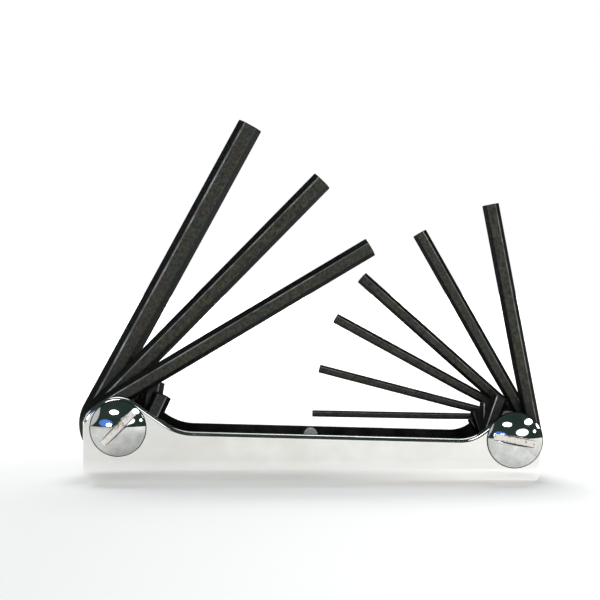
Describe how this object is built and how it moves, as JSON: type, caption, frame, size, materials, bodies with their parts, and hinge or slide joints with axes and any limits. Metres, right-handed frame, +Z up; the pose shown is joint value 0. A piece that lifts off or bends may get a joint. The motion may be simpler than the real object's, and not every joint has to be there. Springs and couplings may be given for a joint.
{
  "type": "folding hex key set",
  "caption": "Folding hex key set: a bright folded steel handle with black hex keys hinged on a slotted post at each end, fanned open.",
  "frame": {"origin": "middle of the handle's flat underside", "axes": "+X along the handle from the large keys to the small keys, +Y from front wall to rear wall, +Z up out of the channel"},
  "size_m": [0.1004, 0.0284, 0.0782],
  "materials": {
    "nickel_case": "satin nickel plate",
    "bright_screw": "polished",
    "washer_steel": "plain steel",
    "black_oxide": "black oxide, oiled"
  },
  "bodies": {
    "handle": {"case": "nickel_case", "post_left": "bright_screw", "post_right": "bright_screw", "rear_screw_left": "bright_screw", "rear_screw_right": "bright_screw", "lock_washer_left": "washer_steel", "lock_washer_right": "washer_steel", "wave_washer_left": "washer_steel", "wave_washer_right": "washer_steel", "spacer_left": "washer_steel", "spacer_right": "washer_steel", "spacer_right_front": "washer_steel", "rest_stud": "nickel_case"},
    "hex_key_3_16": {"hex_key_3_16": "black_oxide"},
    "hex_key_5_32": {"hex_key_5_32": "black_oxide"},
    "hex_key_9_64": {"hex_key_9_64": "black_oxide"},
    "hex_key_1_8": {"hex_key_1_8": "black_oxide"},
    "hex_key_7_64": {"hex_key_7_64": "black_oxide"},
    "hex_key_3_32": {"hex_key_3_32": "black_oxide"},
    "hex_key_5_64": {"hex_key_5_64": "black_oxide"},
    "hex_key_1_16": {"hex_key_1_16": "black_oxide"},
    "hex_key_0_050": {"hex_key_0_050": "black_oxide"}
  },
  "joints": [
    {"name": "hex_key_3_16_fold", "type": "hinge", "parent": "handle", "child": "hex_key_3_16", "pos_m": [-0.0416, 0.00007, 0.01215], "axis": [0, -1, 0], "range_deg": [-72.6, 118.4]},
    {"name": "hex_key_5_32_fold", "type": "hinge", "parent": "handle", "child": "hex_key_5_32", "pos_m": [-0.0416, -0.00439, 0.01215], "axis": [0, -1, 0], "range_deg": [-57.25, 134.25]},
    {"name": "hex_key_9_64_fold", "type": "hinge", "parent": "handle", "child": "hex_key_9_64", "pos_m": [-0.0416, -0.00826, 0.01215], "axis": [0, -1, 0], "range_deg": [-42.6, 149]},
    {"name": "hex_key_1_8_fold", "type": "hinge", "parent": "handle", "child": "hex_key_1_8", "pos_m": [0.043, -0.00479, 0.0097], "axis": [0, 1, 0], "range_deg": [-75.8, 101.2]},
    {"name": "hex_key_7_64_fold", "type": "hinge", "parent": "handle", "child": "hex_key_7_64", "pos_m": [0.043, -0.00171, 0.0097], "axis": [0, 1, 0], "range_deg": [-57.05, 119.95]},
    {"name": "hex_key_3_32_fold", "type": "hinge", "parent": "handle", "child": "hex_key_3_32", "pos_m": [0.043, 0.00372, 0.0097], "axis": [0, 1, 0], "range_deg": [-53.4, 138.6]},
    {"name": "hex_key_5_64_fold", "type": "hinge", "parent": "handle", "child": "hex_key_5_64", "pos_m": [0.043, 0.006, 0.0097], "axis": [0, 1, 0], "range_deg": [-41.4, 151.6]},
    {"name": "hex_key_1_16_fold", "type": "hinge", "parent": "handle", "child": "hex_key_1_16", "pos_m": [0.043, 0.00789, 0.0097], "axis": [0, 1, 0], "range_deg": [-28.45, 165.55]},
    {"name": "hex_key_0_050_fold", "type": "hinge", "parent": "handle", "child": "hex_key_0_050", "pos_m": [0.043, 0.00941, 0.0097], "axis": [0, 1, 0], "range_deg": [-3.2, 179]}
  ]
}
